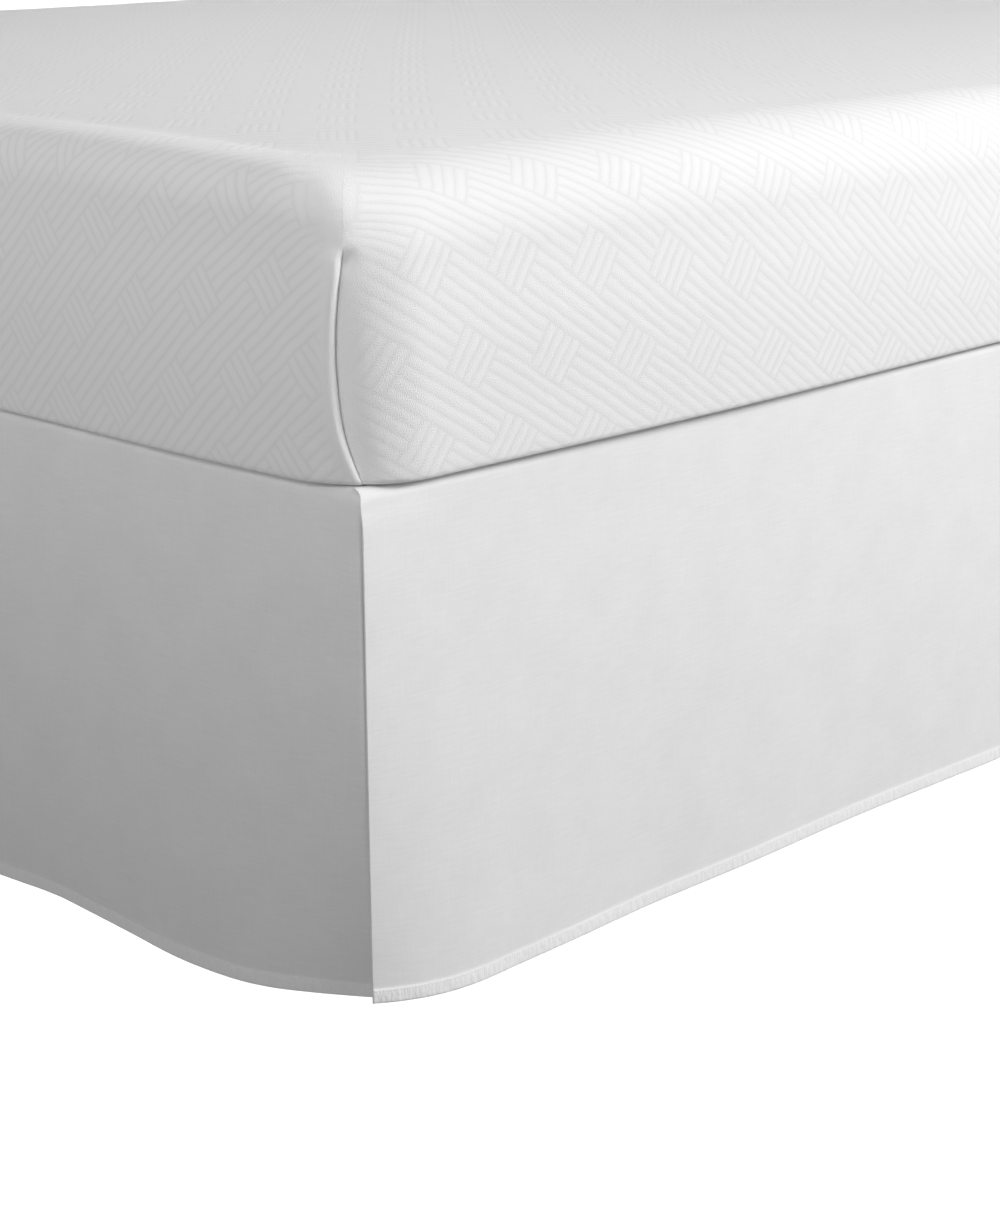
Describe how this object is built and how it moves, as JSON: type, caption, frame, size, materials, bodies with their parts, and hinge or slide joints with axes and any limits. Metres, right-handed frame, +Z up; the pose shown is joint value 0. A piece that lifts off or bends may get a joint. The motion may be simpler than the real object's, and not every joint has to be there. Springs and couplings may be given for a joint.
{
  "type": "bed skirt on a bed with base and mattress",
  "caption": "Tailored bed skirt with split foot corners, hanging from a plain legged bed base under a padded mattress in a quilted cover.",
  "frame": {"origin": "on the floor, under the middle of the bed", "axes": "+X across the bed, +Y from the foot to the head, +Z up"},
  "size_m": [1.5559, 2.0608, 0.5781],
  "materials": {
    "skirt_cloth": "smooth white plain weave with fine slubs",
    "deck_cloth": "plain white cotton",
    "mattress_cover": "white matelasse with a basket pattern of raised ridges",
    "base_ticking": "plain off-white ticking",
    "leg_wood": "plain dark stain"
  },
  "bodies": {
    "root": {"drop_foot": "skirt_cloth", "drop_right": "skirt_cloth", "drop_left": "skirt_cloth", "deck": "deck_cloth", "bed_base": "base_ticking", "leg_1": "leg_wood", "leg_2": "leg_wood", "leg_3": "leg_wood", "leg_4": "leg_wood", "leg_5": "leg_wood", "leg_6": "leg_wood", "mattress": "mattress_cover"}
  },
  "joints": []
}
